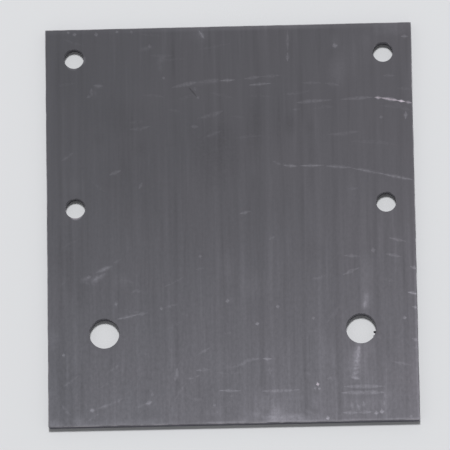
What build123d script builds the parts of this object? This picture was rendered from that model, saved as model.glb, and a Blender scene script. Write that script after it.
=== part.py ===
"""Rectangular cover plate: a short length of flat bar, sawn square at both ends, with six drilled holes.

Millimetres. The plate lies flat: X runs across the bar, Y along it and Z up out of the outer face.
The origin is the centre of the underside.
"""

import os

from build123d import *

# The bar, and the length cut off it
plate_width = 101.6
plate_length = 111.4
plate_thickness = 3.175
edge_break = 0.2  # the file's chamfer along every outer edge and corner

# Four screw holes: a pair near the far end, and a pair further down the same sides
screw_hole_diameter = 5.5
screw_hole_from_side = 7.95
screw_row_from_far_end = 8.35
screw_row_spacing = 42.3

# Two larger holes in one row, nearer the middle of the bar and the near end
large_hole_diameter = 8.2
large_hole_from_side = 15.6
large_row_from_near_end = 25.6

# The light countersink that takes the drill's burr off both rims of every hole
rim_break = 0.1

# Places worked out from the sizes above
far_end = plate_length / 2
near_end = -plate_length / 2
screw_pattern_width = plate_width - 2 * screw_hole_from_side
screw_pattern_centre = far_end - screw_row_from_far_end - screw_row_spacing / 2
large_hole_spacing = plate_width - 2 * large_hole_from_side
large_row = near_end + large_row_from_near_end

with BuildPart() as cover_plate:
    # The blank, with all its outer edges broken
    with BuildSketch():
        Rectangle(plate_width, plate_length)
    extrude(amount=plate_thickness)
    chamfer(cover_plate.edges(), length=edge_break)

    # The holes, drilled down from the outer face
    with Locations((0, screw_pattern_centre, plate_thickness)):
        with GridLocations(screw_pattern_width, screw_row_spacing, 2, 2):
            Hole(radius=screw_hole_diameter / 2)
    with Locations((0, large_row, plate_thickness)):
        with GridLocations(large_hole_spacing, 0, 2, 1):
            Hole(radius=large_hole_diameter / 2)

    # Both rims of each hole: the only round edges so far
    chamfer(cover_plate.edges().filter_by(GeomType.CIRCLE), length=rim_break)

cover_plate.part.label = "cover_plate"

os.makedirs("parts", exist_ok=True)
export_step(cover_plate.part, "parts/cover_plate.step")
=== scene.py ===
import math
import random

import bmesh
import bpy
from mathutils import Matrix, Vector


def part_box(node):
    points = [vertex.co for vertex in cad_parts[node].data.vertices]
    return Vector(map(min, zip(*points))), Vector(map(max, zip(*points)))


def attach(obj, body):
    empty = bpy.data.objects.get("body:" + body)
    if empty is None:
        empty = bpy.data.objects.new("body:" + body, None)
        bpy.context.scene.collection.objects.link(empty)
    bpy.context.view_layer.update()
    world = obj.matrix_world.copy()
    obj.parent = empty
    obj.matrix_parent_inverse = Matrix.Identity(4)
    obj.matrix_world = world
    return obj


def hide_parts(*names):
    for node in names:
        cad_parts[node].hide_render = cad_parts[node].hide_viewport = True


# A rectangular cover plate: a short length of dull flat bar with six drilled holes, scratched by use.

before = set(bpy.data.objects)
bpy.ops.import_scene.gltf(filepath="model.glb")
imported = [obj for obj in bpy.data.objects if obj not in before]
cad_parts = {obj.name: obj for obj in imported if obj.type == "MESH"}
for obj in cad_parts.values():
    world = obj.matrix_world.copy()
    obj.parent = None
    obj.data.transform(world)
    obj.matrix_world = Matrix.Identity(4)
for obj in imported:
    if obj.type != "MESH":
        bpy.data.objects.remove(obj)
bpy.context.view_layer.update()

MM = 0.001
rng = random.Random(7)

low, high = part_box("cover_plate")
centre = (low + high) / 2
size = high - low
half_width = size.x / 2 / MM
half_length = size.y / 2 / MM
face_z = high.z


def at(x, y, z=0.0):
    """A place on the plate: millimetres from its middle, and above its upper face."""
    return Vector((centre.x + x * MM, centre.y + y * MM, face_z + z * MM))


# ---------------------------------------------------------------- finishes

def srgb(red, green, blue):
    """A colour written as 0 to 255 screen values, as the shader wants it."""
    def linear(value):
        value /= 255.0
        return value / 12.92 if value <= 0.04045 else ((value + 0.055) / 1.055) ** 2.4
    return (linear(red), linear(green), linear(blue), 1.0)


# how metallic every finish is: less than bare metal, as the surface is dull
metal_share = 0.6
# how far up and down a soft mark reaches, in millimetres
mark_height = 2.5


class Finish:
    """A metal finish, built node by node on the piece's own coordinates in millimetres."""

    def __init__(self, name):
        self.material = bpy.data.materials.new(name)
        self.material.use_nodes = True
        self.tree = self.material.node_tree
        self.shader = self.tree.nodes["Principled BSDF"]
        place = self.add("ShaderNodeTexCoord").outputs["Object"]
        self.mm = self.mapped(place, scale=(1 / MM, 1 / MM, 1 / MM), origin=centre)

    def add(self, kind, inputs=None, **settings):
        """A new node, with its settings and what its inputs get: a constant or another node's output."""
        node = self.tree.nodes.new(kind)
        for key, value in settings.items():
            setattr(node, key, value)
        for key, value in (inputs or {}).items():
            self.plug(node.inputs[key], value)
        return node

    def plug(self, socket, value):
        if isinstance(value, bpy.types.NodeSocket):
            self.tree.links.new(value, socket)
        else:
            socket.default_value = value

    def mapped(self, vector, scale=(1, 1, 1), origin=(0, 0, 0), turn=0.0):
        """The pattern centred at origin, turned about the upright axis and scaled."""
        node = self.add("ShaderNodeMapping", {"Vector": vector}, vector_type="TEXTURE")
        node.inputs["Location"].default_value = origin
        node.inputs["Rotation"].default_value = (0, 0, math.radians(turn))
        node.inputs["Scale"].default_value = [1 / s for s in scale]
        return node.outputs["Vector"]

    def noise(self, scale, detail=2.0, rough=0.5, shift=(0, 0, 0)):
        """Noise with so many waves to a millimetre along each axis."""
        vector = self.mapped(self.mm, scale=scale, origin=shift)
        return self.add("ShaderNodeTexNoise", {
            "Vector": vector, "Scale": 1.0, "Detail": detail, "Roughness": rough,
        }).outputs["Fac"]

    def math(self, operation, a, b=0.0):
        return self.add("ShaderNodeMath", {0: a, 1: b}, operation=operation).outputs[0]

    def plus(self, a, b):
        return self.math("ADD", a, b)

    def times(self, a, b):
        return self.math("MULTIPLY", a, b)

    def ramp(self, value, low_in, high_in, low_out=0.0, high_out=1.0, smooth=True):
        """Goes from low_out to high_out as the value goes from low_in to high_in."""
        return self.add("ShaderNodeMapRange", {
            "Value": value, "From Min": low_in, "From Max": high_in,
            "To Min": low_out, "To Max": high_out,
        }, interpolation_type="SMOOTHSTEP" if smooth else "LINEAR").outputs["Result"]

    def patch(self, x, y, half_x, half_y, turn):
        """1 at the middle of a soft oval on the upper face, falling to 0 at its rim."""
        vector = self.mapped(self.mm, scale=(1 / half_x, 1 / half_y, 1 / mark_height),
                             origin=(x, y, size.z / 2 / MM), turn=turn)
        blob = self.add("ShaderNodeTexGradient", {"Vector": vector}, gradient_type="SPHERICAL")
        return blob.outputs["Fac"]

    def tint(self, colour, factor):
        """A colour times a factor."""
        if not isinstance(colour, bpy.types.NodeSocket):
            colour = colour[:3]
        node = self.add("ShaderNodeVectorMath", {0: colour}, operation="SCALE")
        self.plug(node.inputs["Scale"], factor)
        return node.outputs["Vector"]

    def blend(self, factor, a, b):
        """Colour a where the factor is 0, b where it is 1."""
        node = self.add("ShaderNodeMix", data_type="RGBA", clamp_factor=True)
        self.plug(node.inputs[0], factor)
        self.plug(node.inputs[6], a)
        self.plug(node.inputs[7], b)
        return node.outputs[2]

    def finish(self, colour, roughness, height=None, bump=0.0, depth=0.0):
        """The finished material; a height pattern, if there is one, is a relief of that depth in metres."""
        self.plug(self.shader.inputs["Base Color"], colour)
        self.plug(self.shader.inputs["Roughness"], roughness)
        self.shader.inputs["Metallic"].default_value = metal_share
        if height is not None:
            node = self.add("ShaderNodeBump", {"Height": height, "Strength": bump, "Distance": depth})
            self.tree.links.new(node.outputs["Normal"], self.shader.inputs["Normal"])
        return self.material


# the rolled metal is cooler to the left and warmer to the right; the deepest scratches are rosier
plate_cool = srgb(98, 98, 104)
plate_warm = srgb(102, 100, 106)
plate_rosy = srgb(104, 98, 104)

# soft marks in the face: place and half sizes in millimetres, turn in degrees, and how much lighter they are
SOFT_MARKS = [
    # the rubbed trail above the near right hole
    (36.8, -21.2, 0.9, 2.2, -6, 0.14),
    (36.4, -23.6, 1.1, 2.0, -6, 0.26),
    (36.7, -22.2, 2.4, 4.2, -5, 0.12),
    # the trail below it, which ends in slanting chatter marks
    (34.45, -34.9, 1.4, 2.6, -5, 0.26),
    (34.1, -37.3, 1.3, 4.4, -5, 0.46),
    (33.9, -40.2, 1.6, 0.6, 6, 0.28),
    (33.6, -41.15, 1.9, 0.6, 8, 0.28),
    (33.7, -42.2, 1.6, 0.6, 12, 0.28),
    (33.2, -43.6, 2.2, 0.8, -14, 0.34),
    (33.7, -40.8, 0.8, 0.5, 10, -0.12),
    # the smear at the near edge
    (10.6, -54.3, 3.8, 1.9, 2, 0.46),
    (11.8, -52.2, 2.6, 2.0, 0, 0.32),
    (6.2, -53.3, 3.2, 1.6, 0, 0.24),
    (17.6, -54.4, 5.0, 1.6, 2, 0.20),
    (12.0, -50.0, 10.0, 7.0, 0, 0.15),
    (22.4, -50.2, 1.6, 2.6, 0, 0.14),
    # scuffs by the left side
    (-35.2, -12.3, 3.8, 1.2, 20, 0.22),
    (-36.6, -14.4, 3.4, 1.3, 26, 0.28),
    (-40.2, -14.8, 2.4, 1.2, 20, 0.26),
    (-37.8, -15.3, 1.3, 1.1, 0, 0.18),
    (-35.8, -13.4, 1.6, 0.5, 24, -0.16),
    (-31.8, -22.0, 0.8, 1.5, 0, 0.16),
    # rubs in the left of the far half
    (-36.1, 39.4, 1.7, 0.9, -4, 0.26),
    (-37.0, 37.6, 1.0, 2.2, 0, 0.12),
    (-22.8, 49.8, 3.0, 1.0, 14, 0.16),
    (-18.6, 46.6, 2.4, 1.3, 45, 0.18),
    (-18.9, 44.2, 1.0, 2.0, 10, 0.12),
    (-10.0, 37.2, 0.7, 2.0, 28, 0.10),
    # marks by the near left corner
    (-38.7, -51.2, 1.2, 0.9, 0, 0.28),
    (-35.0, -50.2, 3.4, 0.9, 20, 0.10),
    (-23.2, -49.5, 1.8, 0.8, 22, 0.26),
    (-25.6, -50.4, 2.2, 0.8, 22, 0.08),
    (-22.4, -46.6, 0.8, 2.6, 4, 0.14),
    (-15.3, -41.6, 0.6, 2.6, 8, 0.18),
    # rubs in the near right corner
    (36.0, -50.9, 6.0, 2.4, 0, 0.10),
    (32.3, -51.4, 0.7, 1.7, 8, 0.16),
    (34.0, -51.8, 0.7, 1.5, 10, 0.16),
    (35.6, -51.0, 0.7, 1.5, 18, 0.14),
    (40.9, -51.2, 0.7, 1.6, 4, 0.16),
    (42.6, -53.6, 0.6, 1.8, 2, 0.12),
    (35.8, -47.1, 4.6, 0.7, 0, -0.10),
    # a speck and a rub by the far right hole
    (29.7, 49.5, 1.2, 0.8, 0, 0.30),
    (40.0, 46.0, 5.0, 4.0, 0, 0.06),
    # long streaks along the bar, lighter and darker
    (-15.2, 47.0, 0.8, 8.0, 0, -0.09),
    (19.8, -46.0, 0.9, 14.0, 0, -0.07),
    # broad duller places
    (-6.0, 2.0, 34.0, 26.0, 0, -0.05),
    (-44.5, 44.0, 9.0, 13.0, 0, -0.05),
    (-29.0, 10.0, 20.0, 18.0, 0, -0.05),
    (-46.0, -46.0, 12.0, 16.0, 0, -0.08),
    (-24.0, -50.0, 8.0, 8.0, 0, -0.05),
    (-4.0, 19.0, 11.0, 16.0, 0, -0.11),
    (-2.5, 25.0, 4.0, 5.0, 0, -0.05),
    (7.0, 27.0, 2.6, 15.0, 0, -0.10),
    (17.0, 27.5, 3.2, 5.0, 0, -0.11),
    (22.5, 18.0, 1.9, 16.0, 0, -0.10),
    (-31.0, 31.0, 12.0, 8.0, 0, -0.08),
    (-36.0, 24.5, 4.0, 3.0, 0, -0.06),
    (-24.5, 21.5, 3.2, 3.6, 0, -0.06),
    (22.5, -8.5, 5.0, 7.0, 0, -0.08),
    (-41.0, -18.0, 6.0, 8.0, 0, -0.08),
    (-47.5, -9.0, 3.6, 7.0, 0, -0.07),
    (42.2, -35.5, 1.7, 6.0, 0, -0.11),
    (27.6, -41.5, 1.4, 4.0, 0, -0.07),
    (33.2, -46.8, 1.4, 2.2, 0, -0.10),
    (12.8, -48.5, 3.4, 2.4, 0, -0.09),
    (-15.0, -44.0, 1.6, 3.4, 0, -0.06),
    (-27.0, -44.5, 9.0, 6.0, 0, -0.05),
    (-6.0, -54.5, 3.2, 1.4, 0, -0.09),
    (33.2, -45.0, 1.2, 4.6, 0, -0.09),
    (-43.5, -42.0, 1.4, 4.6, 0, -0.06),
    (22.2, 26.5, 1.8, 4.0, 0, -0.06),
    (6.6, 10.5, 1.4, 5.0, 0, -0.07),
    (-10.0, 24.0, 32.0, 16.0, 0, -0.05),
    (12.0, 31.0, 12.0, 12.0, 0, -0.05),
    (-43.0, -8.0, 8.0, 14.0, 0, -0.04),
    (-7.0, -49.0, 5.0, 8.0, 0, -0.06),
    # broad lighter places
    (29.8, 42.0, 3.8, 7.0, 0, 0.17),
    (29.3, 50.5, 2.6, 3.2, 0, 0.11),
    (38.6, 50.5, 3.0, 4.0, 0, 0.12),
    (45.0, 53.8, 9.0, 2.8, 0, 0.20),
    (-7.5, 53.4, 5.4, 2.8, 0, 0.12),
    (-7.0, 39.8, 7.0, 1.2, 3, 0.08),
    (33.5, 9.0, 2.4, 9.0, 0, 0.10),
    (-1.0, -12.0, 3.6, 7.0, 0, 0.09),
    (6.5, -17.5, 5.6, 7.0, 0, 0.11),
    (26.0, -19.0, 1.2, 7.0, 0, 0.07),
    (37.5, -14.0, 4.0, 9.0, 0, 0.10),
    (37.0, -22.3, 2.6, 4.0, 0, 0.14),
    (33.3, -39.3, 3.2, 5.6, 0, 0.28),
    (24.5, -37.5, 5.0, 9.0, 0, 0.10),
    (-3.5, -38.0, 3.4, 6.0, 0, 0.08),
    (10.0, -40.0, 2.0, 9.0, 0, 0.09),
    (8.5, -50.5, 3.4, 4.6, 0, 0.09),
    (14.0, -54.5, 8.0, 2.2, 0, 0.36),
    (22.0, -54.6, 6.0, 1.6, 0, 0.12),
    (3.0, -54.8, 5.4, 1.4, 0, 0.12),
    (42.9, -48.3, 1.4, 2.0, 0, 0.12),
    (-30.6, -15.6, 3.2, 3.6, 0, 0.13),
    (-22.5, -49.5, 4.0, 4.2, 0, 0.10),
    (-23.0, -54.8, 4.4, 1.6, 0, 0.14),
    (-42.2, -54.3, 2.6, 2.2, 0, 0.20),
    (-49.2, -55.0, 3.4, 2.0, 0, 0.32),
    (-32.0, -55.3, 17.0, 1.8, 0, 0.16),
    (-42.5, 11.5, 3.4, 3.4, 0, 0.07),
    (34.5, 46.0, 5.0, 9.0, 0, 0.06),
    (34.0, -43.0, 5.5, 6.5, 0, 0.10),
    (34.2, -37.2, 3.0, 3.0, 0, 0.10),
    (23.5, -31.5, 2.0, 3.0, 0, 0.08),
    (37.5, -35.5, 2.4, 4.0, 0, 0.12),
    (41.5, -50.5, 4.0, 4.5, 0, 0.08),
    (-0.5, -21.0, 2.2, 2.4, 0, 0.08),
    (-1.0, -39.8, 2.0, 2.0, 0, 0.10),
    (-23.3, -44.6, 2.0, 2.0, 0, 0.09),
    # lighter strips down both sides, painted highlights along the side arrises
    (-50.4, 36.0, 3.0, 22.0, 0, 0.10),
    (-49.4, -31.0, 3.0, 4.2, 0, 0.15),
    (-50.0, -46.0, 3.0, 12.0, 0, 0.10),
    (50.3, 40.0, 2.4, 14.0, 0, 0.10),
    (50.2, -41.0, 1.8, 11.0, 0, 0.14),
]

# long lines that the mill left along the bar: place across, half width, and how much lighter they are
MILL_LINES = [
    (-47.0, 1.3, -0.07),
    (-43.0, 1.3, 0.07),
    (-41.2, 0.7, -0.04),
    (-32.7, 0.9, 0.05),
    (-26.0, 0.7, 0.03),
    (-17.6, 1.0, 0.06),
    (-15.1, 1.0, -0.07),
    (-4.0, 1.0, 0.07),
    (-2.4, 0.9, -0.06),
    (3.1, 1.2, 0.08),
    (5.3, 0.8, -0.04),
    (8.1, 1.5, -0.10),
    (10.8, 1.1, 0.09),
    (14.6, 0.8, -0.04),
    (19.7, 1.1, -0.09),
    (24.0, 1.2, 0.06),
    (28.8, 1.1, -0.09),
    (30.3, 0.8, 0.06),
    (36.2, 1.2, 0.07),
    (39.7, 1.1, -0.08),
    (41.4, 0.9, 0.06),
    (47.3, 1.0, -0.06),
]


def painted_sheen_tone(f, x, y):
    """A painted sheen: the face is painted lighter towards the right, and more so towards the near end, where
    it would catch more reflected light.
    """
    across = f.ramp(x, -half_width, half_width, 0.93, 1.07, smooth=False)
    nearness = f.ramp(y, half_length, -half_length, smooth=False)
    along = f.plus(f.times(f.math("POWER", nearness, 2.0), 0.58), 0.745)
    return f.times(across, along)


def marked(f, change):
    """The change of tone with the soft marks added, all of it rubbed unevenly."""
    for mark_x, mark_y, half_x, half_y, turn, gain in SOFT_MARKS:
        patch = f.patch(mark_x, mark_y, half_x, half_y, turn)
        change = f.plus(change, f.ramp(patch, 0.0, 1.0, 0.0, gain))
    rubbed = f.noise((1.3, 1.8, 1.3), detail=3.0, rough=0.7, shift=(6, 1, 2))
    return f.times(change, f.ramp(rubbed, 0.25, 0.7, 0.45, 1.35, smooth=False))


def lined(f, change, x, worn):
    """The change of tone with the long mill lines added, which come and go along the bar."""
    broken = f.noise((0.3, 0.09, 0.3), detail=2.0, shift=(14, 3, 0))
    share = f.times(f.ramp(broken, 0.3, 0.7, 0.6, 1.3), worn)
    for line_x, half_line, gain in MILL_LINES:
        away = f.math("ABSOLUTE", f.math("SUBTRACT", x, line_x))
        change = f.plus(change, f.times(f.ramp(away, half_line, 0.0, 0.0, gain), share))
    return change


def edge_highlights(f, change, x, y):
    """The change of tone with painted highlights in strips along three arrises, where the edges catch the
    light, broken up unevenly.
    """
    patchiness = f.noise((0.10, 0.4, 0.1), detail=3.0, rough=0.6, shift=(9, 2, 0))
    near_strip = f.ramp(y, 0.9 - half_length, 0.25 - half_length)
    near_share = f.times(f.ramp(patchiness, 0.35, 0.6, 0.25, 1.0), f.ramp(x, -30.0, 5.0, 0.12, 0.42))
    change = f.plus(change, f.times(near_strip, near_share))
    far_strip = f.ramp(y, half_length - 1.7, half_length - 0.6)
    far_share = f.times(f.ramp(x, -45.0, 8.0, 0.10, 0.25), f.ramp(x, 36.0, 22.0, 0.5, 1.0))
    far_share = f.times(far_share, f.ramp(patchiness, 0.35, 0.6, 0.7, 1.15))
    change = f.plus(change, f.times(far_strip, far_share))
    right_strip = f.ramp(x, half_width - 1.1, half_width - 0.4)
    right_share = f.times(f.ramp(y, -8.0, -20.0, 0.05, 0.34), f.ramp(y, -26.0, -42.0, 1.0, 0.6))
    return f.plus(change, f.times(right_strip, right_share))


def face_tone(f):
    """How light the rolled face is from place to place, with a painted sheen and painted highlights along the
    arrises, its hue, and its fine and blotchy patterns.
    """
    axes = f.add("ShaderNodeSeparateXYZ", {0: f.mm})
    x, y = axes.outputs["X"], axes.outputs["Y"]
    fine = f.noise((1.7, 0.07, 1.7), detail=3.0, rough=0.6)
    band = f.noise((0.42, 0.025, 0.42), detail=2.0, rough=0.6, shift=(17, 0, 0))
    streak = f.noise((0.62, 0.030, 0.62), detail=2.0, shift=(5, 40, 0))
    blotch = f.noise((1.25, 0.80, 1.25), detail=3.0, rough=0.65, shift=(3, 8, 0))
    cloud = f.noise((0.07, 0.05, 0.07), detail=2.0, shift=(11, 2, 0))
    stain = f.noise((0.06, 0.05, 0.06), detail=2.0, shift=(31, 7, 0))
    worn = f.ramp(y, 30.0, -half_length, 0.6, 1.3, smooth=False)

    # a painted sheen, lighter towards the right and the near end
    tone = painted_sheen_tone(f, x, y)
    for value, swing in ((fine, 0.13), (band, 0.13), (blotch, 0.34), (cloud, 0.06)):
        part = f.times(f.ramp(value, 0.2, 0.8, -swing / 2, swing / 2, smooth=False), worn)
        tone = f.times(tone, f.plus(part, 1.0))

    lighter = f.ramp(streak, 0.58, 0.74, 0.0, 0.09)
    darker = f.ramp(streak, 0.42, 0.26, 0.0, 0.08)
    change = f.math("SUBTRACT", lighter, darker)
    change = marked(f, change)
    change = lined(f, change, x, worn)
    # painted highlights in strips along three arrises
    change = edge_highlights(f, change, x, y)
    tone = f.times(tone, f.plus(change, 1.0))

    lean = f.plus(f.ramp(x, -half_width, half_width, 0.15, 0.80, smooth=False),
                  f.ramp(stain, 0.3, 0.7, -0.15, 0.15, smooth=False))
    hue = f.blend(lean, plate_cool, plate_warm)
    return tone, hue, fine, blotch


def rolled_face():
    """The dull mill finish of both faces, with the painted sheen and painted edge highlights of its tone."""
    f = Finish("rolled_face")
    tone, hue, fine, blotch = face_tone(f)
    rough = f.ramp(blotch, 0.25, 0.75, 0.68, 0.72, smooth=False)
    return f.finish(f.tint(hue, tone), rough, fine, bump=0.25, depth=0.00002)


def scratch(name, gain, broken_to, roughness, rosy=0.0):
    """Metal laid bare by a scratch: lighter than the face by gain, and broken along its run."""
    f = Finish(name)
    tone, hue, _, _ = face_tone(f)
    if rosy:
        hue = f.blend(rosy, hue, plate_rosy)
    gaps = f.noise((1.4, 1.4, 1.4), detail=2.0, shift=(2, 9, 4))
    share = f.ramp(gaps, 0.32, 0.6, broken_to, 1.0)
    lift = f.plus(f.times(share, gain - 1.0), 1.0)
    return f.finish(f.tint(hue, f.times(tone, lift)), roughness)


def sheared_edge():
    """The sides, with the fine upright lines of the shear."""
    f = Finish("sheared_edge")
    wide = f.noise((0.35, 0.35, 1.2), detail=3.0)
    lines = f.noise((5.0, 5.0, 0.25), detail=3.0, shift=(1, 3, 0))
    tone = f.times(f.ramp(wide, 0.25, 0.75, 0.82, 1.18, smooth=False),
                   f.ramp(lines, 0.25, 0.75, 0.80, 1.20, smooth=False))
    return f.finish(f.tint(srgb(90, 88, 100), tone), 0.6, lines, bump=0.5, depth=0.00006)


def worn_arris():
    """The broken outer edges, rubbed bright in places."""
    f = Finish("worn_arris")
    patchiness = f.noise((0.25, 0.25, 0.25), detail=4.0, rough=0.65)
    colour = f.blend(f.ramp(patchiness, 0.38, 0.62), srgb(118, 116, 122), srgb(168, 165, 171))
    return f.finish(colour, 0.55, patchiness, bump=0.2, depth=0.00003)


def drilled_bore():
    """The walls of the holes, with the rings of the drill."""
    f = Finish("drilled_bore")
    rings = f.noise((0.3, 0.3, 7.0), detail=2.0)
    tone = f.ramp(rings, 0.25, 0.75, 0.75, 1.25, smooth=False)
    return f.finish(f.tint(srgb(90, 88, 96), tone), 0.5, rings, bump=0.4, depth=0.00004)


def drilled_rim():
    """The broken rims of the holes, bright in places: partly bare metal, partly a painted highlight where the
    rims catch the light.
    """
    f = Finish("drilled_rim")
    patchiness = f.noise((0.8, 0.8, 0.8), detail=3.0)
    colour = f.blend(f.ramp(patchiness, 0.4, 0.65), srgb(104, 102, 110), srgb(165, 162, 170))
    return f.finish(colour, 0.5)


def burr_painted_dark():
    """A shred of metal left by the drill, its dark colour painted shade for the shadow it sits in."""
    f = Finish("burr_painted_dark")
    torn = f.noise((2.5, 2.5, 2.5), detail=2.0)
    return f.finish(f.tint(srgb(52, 52, 60), f.ramp(torn, 0.3, 0.7, 0.7, 1.3)), 0.6)


finishes = {
    "face": rolled_face(),
    "edge": sheared_edge(),
    "arris": worn_arris(),
    "bore": drilled_bore(),
    "rim": drilled_rim(),
    "burr": burr_painted_dark(),
    "bared": scratch("bared_scratch", gain=5.4, broken_to=0.7, roughness=0.5, rosy=0.8),
    "white": scratch("deep_scratch", gain=2.7, broken_to=0.5, roughness=0.55, rosy=0.8),
    "bright": scratch("bright_scratch", gain=1.78, broken_to=0.5, roughness=0.62),
    "fair": scratch("fair_scratch", gain=1.48, broken_to=0.4, roughness=0.65),
    "faint": scratch("faint_scratch", gain=1.30, broken_to=0.3, roughness=0.68),
    "hair": scratch("hairline_scratch", gain=1.22, broken_to=0.3, roughness=0.70),
    "trace": scratch("trace_scratch", gain=1.09, broken_to=0.2, roughness=0.70),
    "dark": scratch("dark_nick", gain=0.74, broken_to=0.5, roughness=0.70),
}
finish_index = {name: index for index, name in enumerate(finishes)}


# ---------------------------------------------------------------- the plate and its holes

# sizes in millimetres, from the middle of the plate
edge_break = 0.2
rim_break = 0.1
screw_hole_radius = 2.75
large_hole_radius = 4.1
screw_hole_x = 42.85
screw_hole_rows = (47.35, 5.05)
large_hole_x = 35.2
large_hole_row = -30.1
hole_steps = 96

# the sheared sides: how many stretches, how far a stretch's end may stray, and how far the side draws in
shear_stretches = 28
shear_stray = 0.8
shear_unevenness = 0.09

screw_holes = [(side * screw_hole_x, row) for row in screw_hole_rows for side in (-1, 1)]
large_holes = [(side * large_hole_x, large_hole_row) for side in (-1, 1)]


def mesh_object(name, bm):
    """A piece with this mesh and every finish in its slots."""
    mesh = bpy.data.meshes.new(name)
    bm.to_mesh(mesh)
    bm.free()
    piece = bpy.data.objects.new(name, mesh)
    bpy.context.scene.collection.objects.link(piece)
    for material in finishes.values():
        mesh.materials.append(material)
    return piece


def sheared_blank():
    """The blank, with its long sides a little uneven from the shear and every edge broken."""
    bm = bmesh.new()
    block = Matrix.Translation(centre) @ Matrix.Diagonal((size.x, size.y, size.z, 1))
    bmesh.ops.create_cube(bm, size=1.0, matrix=block)
    for step in range(1, shear_stretches):
        stray = rng.uniform(-shear_stray, shear_stray)
        cut_y = -half_length + step * 2 * half_length / shear_stretches + stray
        bmesh.ops.bisect_plane(bm, geom=bm.verts[:] + bm.edges[:] + bm.faces[:],
                               plane_co=at(0, cut_y), plane_no=(0, 1, 0))
    for vert in bm.verts:
        at_an_end = abs(vert.co.y - centre.y) > size.y / 2 - 1e-6
        if not at_an_end:
            vert.co.x -= math.copysign(rng.uniform(0.0, shear_unevenness) * MM, vert.co.x - centre.x)
    bm.normal_update()
    outer = [e for e in bm.edges if e.calc_face_angle(0) > math.radians(60)]
    bmesh.ops.bevel(bm, geom=outer, offset=edge_break * MM, offset_type="OFFSET", segments=2,
                    profile=0.5, affect="EDGES", clamp_overlap=True, material=-1)
    bm.normal_update()
    flat = 0.995
    for face in bm.faces:
        n = face.normal
        if abs(n.z) > flat:
            face.material_index = finish_index["face"]
        elif max(abs(n.x), abs(n.y)) > flat:
            face.material_index = finish_index["edge"]
        else:
            face.material_index = finish_index["arris"]
    return mesh_object("worn_cover_plate", bm)


def drill(bm, x, y, radius):
    """A drill-shaped cutter that also breaks both rims of its hole."""
    beyond = 0.5
    thickness = size.z / MM
    wide = radius + rim_break + beyond
    outline = [(0, -thickness - beyond), (wide, -thickness - beyond), (radius, -thickness + rim_break),
               (radius, -rim_break), (wide, beyond), (0, beyond)]
    verts = [bm.verts.new(at(x + out, y, up)) for out, up in outline]
    edges = [bm.edges.new(pair) for pair in zip(verts, verts[1:])]
    bmesh.ops.spin(bm, geom=verts + edges, cent=at(x, y), axis=(0, 0, 1),
                   angle=math.tau, steps=hole_steps, use_merge=True)

    def of_this_hole():
        return [v for v in bm.verts if (v.co.xy - at(x, y).xy).length < (wide + 0.1) * MM]

    bmesh.ops.remove_doubles(bm, verts=of_this_hole(), dist=1e-7)
    faces = {f for v in of_this_hole() for f in v.link_faces}
    bmesh.ops.recalc_face_normals(bm, faces=list(faces))
    for face in faces:
        upright = abs(face.normal.z) < 0.1
        face.material_index = finish_index["bore" if upright else "rim"]


# Each kind of scratch: how deep its V is, then the finish and width of the shallow scrape on both its sides.
GROOVES = {
    "bared": (0.07, "bright", 0.26),
    "white": (0.06, "fair", 0.32),
    "bright": (0.05, "faint", 0.38),
    "fair": (0.04, "hair", 0.40),
    "faint": (0.025, "hair", 0.34),
    "hair": (0.018, "trace", 0.34),
    "trace": (0.012, "trace", 0.20),
    "dark": (0.06, "dark", 0.10),
}
station_step = 2.5
above_face = 0.02
# a groove's size at its ends, the power by which it swells in between, and the least that chance leaves of it
end_share = 0.12
swelling = 0.6
least_share = 0.82
# how deep the scrape is where it meets the V, as a share of the V's depth
shelf_share = 0.25


def stations_along(run):
    """Places along a run of points, at most a station step apart, or half a leg if that is shorter."""
    points = [at(x, y) for x, y in run]
    stations = []
    for a, b in zip(points, points[1:]):
        pieces = max(2, int((b - a).length / (station_step * MM)))
        stations += [a.lerp(b, i / pieces) for i in range(pieces)]
    return stations + points[-1:]


def groove(bm, run, width, finish):
    """A tapering cutter that follows a run of points on the face: a V with a shallow scrape either side."""
    depth, scrape, margin = GROOVES[finish]
    stations = stations_along(run)
    last = len(stations) - 1
    end = None
    for i, spot in enumerate(stations):
        ahead = stations[min(i + 1, last)] - stations[max(i - 1, 0)]
        side = ahead.normalized().cross(Vector((0, 0, 1)))
        swell = end_share + (1 - end_share) * math.sin(math.pi * i / last) ** swelling
        swell *= rng.uniform(least_share, 1.0)
        core = width / 2 * swell
        shelf = depth * swell * shelf_share
        outer = core + margin * swell
        reach = outer + (outer - core) * above_face / shelf
        section = ((reach, above_face), (core, -shelf), (0.0, -depth * swell),
                   (-core, -shelf), (-reach, above_face))
        corners = [spot + side * across * MM + Vector((0, 0, up * MM)) for across, up in section]
        if end is None:
            start = end = bm.faces.new([bm.verts.new(c) for c in corners])
            made = {start}
            role = {vert: k for k, vert in enumerate(start.verts)}
        else:
            grown = bmesh.ops.extrude_face_region(bm, geom=[end])["geom"]
            if end is not start:
                made.discard(end)
                bm.faces.remove(end)
            end = next(g for g in grown if isinstance(g, bmesh.types.BMFace))
            for vert in end.verts:
                nearest = min(range(5), key=lambda k: (vert.co - before[k]).length)
                role[vert] = nearest
                vert.co = corners[nearest]
            made |= {f for v in end.verts for f in v.link_faces}
        before = corners
    bmesh.ops.recalc_face_normals(bm, faces=list(made))
    for face in made:
        deep = {role[v] for v in face.verts} in ({1, 2}, {2, 3})
        face.material_index = finish_index[finish if deep else scrape]


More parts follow.
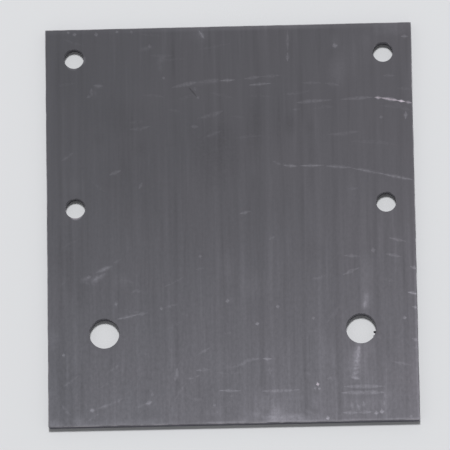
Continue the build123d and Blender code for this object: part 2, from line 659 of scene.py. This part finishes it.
# Each scratch: finish, width, then the points that it runs through, in millimetres from the middle.
SCRATCHES = [
    # the long arc across the far half, with its companion
    ("faint", 0.72, (-15.8, 38.6), (-11.4, 39.5), (-8.6, 40.0)),
    ("hair", 0.95, (-9.0, 39.9), (-4.2, 40.3), (-1.8, 40.3)),
    ("fair", 0.64, (-2.4, 40.2), (1.8, 40.4)),
    ("faint", 0.70, (4.4, 40.6), (9.4, 41.2)),
    ("hair", 0.64, (9.1, 41.1), (14.7, 41.4)),
    ("fair", 0.50, (5.5, 38.8), (11.8, 39.2)),
    ("dark", 0.40, (-11.0, 38.5), (-10.0, 37.2), (-8.9, 35.8)),
    ("faint", 0.55, (-9.4, 38.6), (-9.2, 37.6)),
    ("faint", 0.60, (-8.7, 36.0), (-8.3, 35.2)),
    # the second arc, ending in the deep bright one at the side
    ("faint", 0.55, (18.6, 33.5), (21.7, 33.8), (28.4, 34.1)),
    ("faint", 0.52, (30.9, 34.2), (39.8, 34.6)),
    ("white", 0.54, (40.3, 34.55), (42.3, 34.35)),
    ("white", 0.56, (42.0, 34.4), (44.8, 33.9), (46.9, 33.5)),
    ("bared", 0.48, (46.6, 33.5), (48.7, 33.15)),
    ("white", 0.31, (48.4, 33.2), (50.7, 32.7)),
    ("trace", 0.70, (41.3, 32.2), (45.2, 32.0), (48.5, 31.3), (50.4, 30.6)),
    ("trace", 0.60, (44.8, 32.7), (48.5, 32.1)),
    ("hair", 0.45, (17.5, 31.6), (19.8, 31.7)),
    ("fair", 0.75, (48.8, 30.5), (48.7, 28.2)),
    # the third arc
    ("hair", 0.40, (11.5, 17.3), (14.0, 16.2), (15.7, 15.8)),
    ("fair", 0.56, (14.4, 16.0), (18.8, 15.6)),
    ("fair", 0.54, (19.2, 15.7), (26.0, 15.7)),
    ("fair", 0.40, (26.5, 15.5), (29.6, 15.2), (33.5, 14.9)),
    ("fair", 0.40, (33.7, 14.7), (38.3, 13.8), (42.6, 12.8)),
    ("fair", 0.58, (42.0, 12.9), (46.1, 12.0), (50.3, 11.1)),
    # short ones by the far end
    ("faint", 0.45, (16.6, 54.2), (16.5, 48.4)),
    ("fair", 0.45, (16.5, 47.8), (16.4, 45.3)),
    ("fair", 0.55, (-8.0, 54.6), (-7.2, 53.4), (-6.5, 52.2)),
    ("fair", 0.60, (47.9, 51.7), (50.0, 51.6)),
    ("hair", 0.45, (20.1, 39.1), (25.6, 39.0)),
    ("hair", 0.66, (26.6, 38.9), (30.6, 38.2)),
    ("trace", 0.60, (46.4, 37.0), (50.3, 36.7)),
    ("trace", 0.70, (33.6, 22.3), (41.3, 21.9), (46.6, 20.9)),
    ("hair", 0.65, (32.4, 9.0), (35.2, 9.1)),
    # the left of the far half
    ("hair", 0.60, (-37.6, 39.7), (-34.8, 39.5)),
    ("faint", 0.66, (-38.0, 38.9), (-38.2, 37.0), (-39.4, 36.2)),
    ("hair", 0.60, (-27.6, 27.0), (-24.6, 27.1), (-21.9, 27.8)),
    ("trace", 0.60, (-28.0, 28.9), (-25.1, 29.2), (-23.0, 29.0)),
    ("hair", 0.90, (-8.8, 29.7), (-4.6, 30.6), (-1.6, 31.7)),
    ("faint", 0.65, (-10.8, 27.5), (-8.5, 27.3)),
    ("faint", 0.55, (-33.4, 14.2), (-31.8, 14.9), (-30.1, 15.5)),
    ("faint", 0.50, (-24.3, 11.9), (-25.2, 10.2)),
    # scuffs by the left side
    ("faint", 0.50, (-37.2, -13.0), (-34.6, -11.9), (-32.7, -11.3)),
    ("hair", 0.80, (-38.1, -15.2), (-36.1, -14.0), (-34.5, -13.2)),
    ("faint", 0.70, (-39.8, -14.5), (-38.6, -14.0)),
    ("trace", 0.60, (-41.0, -15.6), (-38.8, -16.0), (-36.6, -16.4)),
    ("trace", 0.60, (-38.2, -15.9), (-36.2, -15.4)),
    ("trace", 0.60, (-46.8, -16.4), (-45.7, -14.8), (-44.1, -13.7)),
    ("trace", 0.50, (-30.6, -15.1), (-26.7, -16.0)),
    ("trace", 0.60, (-32.7, -10.6), (-30.0, -9.2)),
    # from the near left hole
    ("fair", 0.42, (-31.7, -26.1), (-29.2, -25.7), (-26.2, -25.0)),
    ("faint", 0.52, (-26.4, -25.0), (-23.2, -24.5)),
    ("trace", 0.60, (-30.4, -23.5), (-27.9, -24.0), (-25.2, -24.2)),
    ("hair", 0.65, (-18.6, -23.2), (-14.6, -22.2)),
    # rubs above and below the near right hole
    ("trace", 0.70, (37.1, -20.2), (36.7, -22.3)),
    ("hair", 0.60, (36.6, -22.0), (36.2, -24.6)),
    ("hair", 1.05, (34.5, -34.8), (34.2, -38.2)),
    ("hair", 1.00, (34.1, -37.9), (33.8, -40.0)),
    ("trace", 0.45, (32.5, -41.3), (34.5, -41.0)),
    ("hair", 0.45, (32.2, -43.0), (34.1, -42.4)),
    ("faint", 0.38, (32.2, -43.6), (33.4, -43.8), (34.4, -44.1)),
    # rules across the near right corner
    ("faint", 0.72, (30.2, -46.1), (35.0, -46.2), (41.4, -46.2)),
    ("faint", 0.82, (29.2, -47.8), (36.0, -47.8), (41.5, -47.9)),
    ("trace", 0.50, (30.4, -48.9), (30.5, -51.8)),
    ("trace", 0.36, (41.2, -46.9), (41.3, -49.6)),
    ("fair", 0.42, (-4.0, -46.5), (2.0, -46.7)),
    ("trace", 0.50, (-2.2, -47.9), (1.3, -47.9)),
    ("faint", 0.50, (7.6, -46.9), (12.6, -46.9), (18.1, -46.7)),
    ("faint", 0.78, (29.7, -53.3), (34.1, -53.4)),
    ("faint", 0.60, (34.0, -53.4), (37.8, -53.2)),
    # short rubs, all leaning the same way
    ("trace", 0.60, (32.1, -50.3), (32.5, -52.5)),
    ("hair", 0.50, (33.8, -51.0), (34.2, -52.7)),
    ("hair", 0.60, (35.2, -50.2), (35.9, -52.1)),
    ("trace", 0.42, (41.0, -50.2), (41.1, -51.7)),
    # about the middle of the near end
    ("fair", 0.64, (8.1, -37.9), (10.6, -38.0)),
    ("faint", 0.42, (9.95, -40.2), (10.15, -42.3)),
    ("hair", 0.80, (-0.8, -40.2), (2.8, -39.2), (3.9, -38.2), (7.2, -37.9)),
    ("faint", 0.55, (-10.2, -40.8), (-6.2, -40.6)),
    ("trace", 0.60, (-5.4, -41.5), (-0.2, -41.7), (2.0, -41.6)),
    ("hair", 0.70, (-10.1, -36.7), (-6.1, -34.5)),
    ("faint", 0.60, (-15.3, -40.0), (-15.5, -41.8), (-16.0, -43.6)),
    # the right side
    ("faint", 0.56, (31.0, -9.7), (35.4, -10.0)),
    ("faint", 0.68, (42.3, -9.5), (46.9, -10.4)),
    ("faint", 0.52, (43.4, -5.0), (48.1, -6.2)),
    ("faint", 0.56, (30.5, -15.1), (35.0, -13.2)),
    ("hair", 0.62, (43.6, -39.4), (48.7, -40.6)),
    ("faint", 0.70, (2.4, 2.6), (5.5, 3.2)),
    # the near left corner
    ("hair", 0.60, (-37.2, -50.8), (-33.3, -49.5)),
    ("hair", 0.80, (-33.0, -49.4), (-30.4, -48.1)),
    ("faint", 0.52, (-24.1, -49.8), (-22.3, -49.1)),
    ("trace", 0.60, (-26.6, -50.8), (-24.4, -49.9)),
    # dings over the right arris
    ("fair", 0.74, (49.0, -13.1), (51.0, -13.9)),
    ("bright", 0.56, (48.2, -20.3), (51.0, -20.9)),
    ("fair", 0.60, (49.3, -24.3), (51.0, -24.7)),
    ("faint", 0.70, (49.0, -33.1), (51.0, -34.0)),
    ("hair", 0.60, (49.2, -35.4), (51.0, -36.0)),
]

# Each speck: finish, width, and its place.
SPECKS = [
    ("faint", 0.7, -18.0, 41.4), ("faint", 1.3, 29.6, 49.5), ("faint", 0.9, -21.7, 50.5),
    ("faint", 0.9, 42.0, 28.9), ("faint", 0.7, -31.9, -21.9), ("fair", 0.8, -19.4, -23.4),
    ("fair", 0.7, 16.4, 46.2), ("white", 0.8, 23.05, -45.3), ("fair", 0.7, 22.3, -46.3),
    ("fair", 0.7, 23.5, -46.5), ("faint", 1.0, -38.7, -51.3), ("hair", 0.9, -22.2, -47.3),
    ("fair", 0.95, -1.3, -21.7), ("fair", 0.9, 12.5, -23.5), ("fair", 1.0, 6.8, -28.2),
    ("faint", 0.8, 22.2, -26.9), ("fair", 0.9, 47.2, -27.4), ("faint", 1.1, 39.0, -8.4),
    ("faint", 0.7, -5.3, -50.4), ("fair", 0.8, -46.4, -35.8), ("bright", 0.9, 25.6, -54.7),
    ("fair", 1.1, 38.9, -53.6), ("fair", 1.15, 40.4, -53.2), ("faint", 0.8, 48.3, -54.7),
    ("faint", 0.9, -8.6, -9.1), ("fair", 0.6, -44.3, 54.9), ("fair", 0.95, -42.6, 54.3),
    ("fair", 1.0, -36.6, 54.2), ("fair", 0.7, -30.8, 54.8), ("faint", 0.7, -26.8, 54.6),
]

# Each nick on the near rim of a left screw hole, its bright finish a painted highlight where the rim catches
# the light: finish, width, the hole's row, and the angles it spans.
RIM_GLINT_NICKS = [
    ("white", 0.36, screw_hole_rows[1], -118, -48),
    ("bright", 0.32, screw_hole_rows[0], -130, -70),
    ("fair", 0.32, screw_hole_rows[0], -40, 20),
]
glint_nick_radius = screw_hole_radius + 0.15

# Faint handling lines, scattered over an area: how many, its left and right, its near and far,
# the shortest and longest, the heading and its spread in degrees, and the finishes to draw from.
HANDLING_LINES = [
    (12, (-46, -12), (20, 54), (2, 8), (3, 14), ("trace",)),
    (14, (-12, 46), (20, 54), (2, 9), (3, 14), ("hair", "trace", "trace")),
    (16, (-46, 46), (-30, 20), (2, 7), (5, 25), ("hair", "trace", "trace")),
    (38, (-46, 46), (-54, -30), (1.5, 6), (5, 30), ("hair", "trace", "trace")),
]


def speck_run(x, y, width):
    """The two ends of a speck, a little longer than it is wide."""
    return [(x - 0.55 * width, y - 0.1), (x + 0.55 * width, y + 0.1)]


def round_rim(x, y, radius, start, stop):
    """Points round a hole's rim, the angles counted from the right, anticlockwise."""
    angles = [math.radians(start + (stop - start) * i / 4) for i in range(5)]
    return [(x + radius * math.cos(a), y + radius * math.sin(a)) for a in angles]


def handling_line(x, y, length, angle, bow):
    """The ends and the middle of a slightly bowed line."""
    reach_x, reach_y = math.cos(angle) * length / 2, math.sin(angle) * length / 2
    return [(x - reach_x, y - reach_y), (x - bow * math.sin(angle), y + bow * math.cos(angle)),
            (x + reach_x, y + reach_y)]


def cut(piece, bm, operation="DIFFERENCE"):
    """Takes the cutters out of the piece for good, or joins them on."""
    tool = mesh_object("cutters", bm)
    boolean = piece.modifiers.new("cut", "BOOLEAN")
    boolean.operation = operation
    boolean.solver = "EXACT"
    boolean.use_self = True
    boolean.material_mode = "TRANSFER"
    boolean.object = tool
    bpy.context.view_layer.update()
    graph = bpy.context.evaluated_depsgraph_get()
    mesh = bpy.data.meshes.new_from_object(piece.evaluated_get(graph))
    piece.modifiers.clear()
    old = piece.data
    piece.data = mesh
    bpy.data.meshes.remove(old)
    bpy.data.objects.remove(tool)


# strokes are compared at places this far apart, and kept this far from each other
spot_step = 0.4
stroke_room = 0.7


def sampled(run):
    """Places all along a run, to see which runs cross."""
    spots = []
    for a, b in zip(run, run[1:]):
        a, b = Vector(a), Vector(b)
        pieces = max(1, math.ceil((b - a).length / spot_step))
        spots += [a.lerp(b, i / pieces) for i in range(pieces + 1)]
    return spots


def touching(one, other):
    """Whether two strokes, each a width and its sampled places, come too close for one pass."""
    reach = (one[0] + other[0]) / 2 + stroke_room
    return any((a - b).length < reach for a in one[1] for b in other[1])


plate = sheared_blank()

holes = bmesh.new()
for x, y in screw_holes:
    drill(holes, x, y, screw_hole_radius)
for x, y in large_holes:
    drill(holes, x, y, large_hole_radius)
cut(plate, holes)

strokes = [(width, run, finish) for finish, width, *run in SCRATCHES]
strokes += [(width, speck_run(x, y, width), finish) for finish, width, x, y in SPECKS]
strokes += [(width, round_rim(-screw_hole_x, row, glint_nick_radius, low_turn, high_turn), finish)
            for finish, width, row, low_turn, high_turn in RIM_GLINT_NICKS]
placed = len(strokes)
for count, sides, ends, lengths, (heading, spread), kinds in HANDLING_LINES:
    for _ in range(count):
        x, y = rng.uniform(*sides), rng.uniform(*ends)
        length = rng.uniform(*lengths)
        angle = math.radians(rng.gauss(heading, spread))
        bow = rng.uniform(-0.05, 0.05) * length
        width = rng.uniform(0.3, 0.7)
        strokes.append((width, handling_line(x, y, length, angle, bow), rng.choice(kinds)))

# Strokes that touch are cut in different passes, as a cutter must not run through itself.
# A handling line goes into the first pass or is left out.
passes = [[]]
for number, (width, run, finish) in enumerate(strokes):
    shape = (width, sampled(run))
    free = next((p for p in passes if not any(touching(shape, other) for other, _, _ in p)), None)
    if number >= placed and free is not passes[0]:
        continue
    if free is None:
        free = []
        passes.append(free)
    free.append((shape, run, finish))
for crowd in passes:
    marks = bmesh.new()
    for shape, run, finish in crowd:
        groove(marks, run, shape[0], finish)
    cut(plate, marks)

# a burr left on the wall of the near right hole, just under the face; its dark colour is painted shade
burr_angle = math.radians(-15)
burr_reach = large_hole_radius - 0.15
burr_depth = 0.75
burr_half_sizes = (0.50, 0.34, 0.52)
burr_place = at(large_hole_x + burr_reach * math.cos(burr_angle),
                large_hole_row + burr_reach * math.sin(burr_angle), -burr_depth)
burr_shape = (Matrix.Rotation(burr_angle, 4, "Z")
              @ Matrix.Diagonal([half * MM for half in burr_half_sizes] + [1]))
burr = bmesh.new()
bmesh.ops.create_icosphere(burr, subdivisions=2, radius=1.0,
                           matrix=Matrix.Translation(burr_place) @ burr_shape)
for face in burr.faces:
    face.material_index = finish_index["burr"]
cut(plate, burr, "UNION")


def set_shading(piece, sharp_above=6.0):
    """Smooth round the bores, crisp everywhere else."""
    bm = bmesh.new()
    bm.from_mesh(piece.data)
    for face in bm.faces:
        face.smooth = True
    for edge in bm.edges:
        edge.smooth = edge.calc_face_angle(math.pi) < math.radians(sharp_above)
    bm.to_mesh(piece.data)
    bm.free()


set_shading(plate)
plate.data.name = "worn_cover_plate"
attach(plate, "root")
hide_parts("cover_plate")


# ---------------------------------------------------------------- floor, light and camera

def pale_floor():
    """A plain pale floor under the plate, for the stage alone."""
    bm = bmesh.new()
    bmesh.ops.create_grid(bm, x_segments=1, y_segments=1, size=3.0)
    mesh = bpy.data.meshes.new("pale_floor")
    bm.to_mesh(mesh)
    bm.free()
    floor = bpy.data.objects.new("pale_floor", mesh)
    bpy.context.scene.collection.objects.link(floor)
    material = bpy.data.materials.new("pale_floor")
    material.use_nodes = True
    shader = material.node_tree.nodes["Principled BSDF"]
    shader.inputs["Base Color"].default_value = (0.80, 0.81, 0.83, 1)
    shader.inputs["Roughness"].default_value = 0.9
    shader.inputs["Specular IOR Level"].default_value = 0.1
    mesh.materials.append(material)


pale_floor()

world = bpy.data.worlds.new("studio")
bpy.context.scene.world = world
world.use_nodes = True
background = world.node_tree.nodes["Background"]
background.inputs["Color"].default_value = (1.0, 1.0, 1.0, 1)
background.inputs["Strength"].default_value = 0.26


def soft_lamp(name, off_vertical, bearing, distance, width, power):
    """A round soft lamp aimed at the plate's middle; bearing 0 is the far side, 90 the right."""
    tilt, turn = math.radians(off_vertical), math.radians(bearing)
    way = Vector((math.sin(tilt) * math.sin(turn), math.sin(tilt) * math.cos(turn), math.cos(tilt)))
    data = bpy.data.lights.new(name, "AREA")
    data.shape = "DISK"
    data.size = width
    data.energy = power
    lamp = bpy.data.objects.new(name, data)
    lamp.location = Vector((centre.x, centre.y, face_z)) + way * distance
    lamp.rotation_euler = way.to_track_quat("Z", "Y").to_euler()
    bpy.context.scene.collection.objects.link(lamp)


soft_lamp("key", off_vertical=16, bearing=2, distance=5.2, width=0.68, power=179.0)

# the camera: its tilt from the upright, its bearing and its roll in degrees, its distance in metres,
# its lens in millimetres, and the place on the plate that it looks at
camera_tilt = 11.0
camera_bearing = 9.16
camera_roll = -0.916
camera_distance = 1.224
camera_lens = 355.8
camera_target = at(-1.62, -0.48)


def aim_camera():
    """The camera, tilted from the upright and turned about it, then rolled about its own line of sight."""
    tilt, bearing = math.radians(camera_tilt), math.radians(camera_bearing)
    away = Vector((math.sin(tilt) * math.sin(bearing), -math.sin(tilt) * math.cos(bearing), math.cos(tilt)))
    right = (-away).cross(Vector((0, 1, 0))).normalized()
    up = right.cross(-away)
    roll = math.radians(camera_roll)
    rolled_right = right * math.cos(roll) + up * math.sin(roll)
    rolled_up = up * math.cos(roll) - right * math.sin(roll)
    data = bpy.data.cameras.new("camera")
    data.sensor_width = 36.0
    data.lens = camera_lens
    data.clip_start = 0.05
    data.clip_end = 20.0
    camera = bpy.data.objects.new("camera", data)
    bpy.context.scene.collection.objects.link(camera)
    facing = Matrix((rolled_right, rolled_up, away)).transposed().to_4x4()
    camera.matrix_world = Matrix.Translation(camera_target + away * camera_distance) @ facing
    bpy.context.scene.camera = camera


aim_camera()

bpy.context.scene.view_settings.view_transform = "Standard"
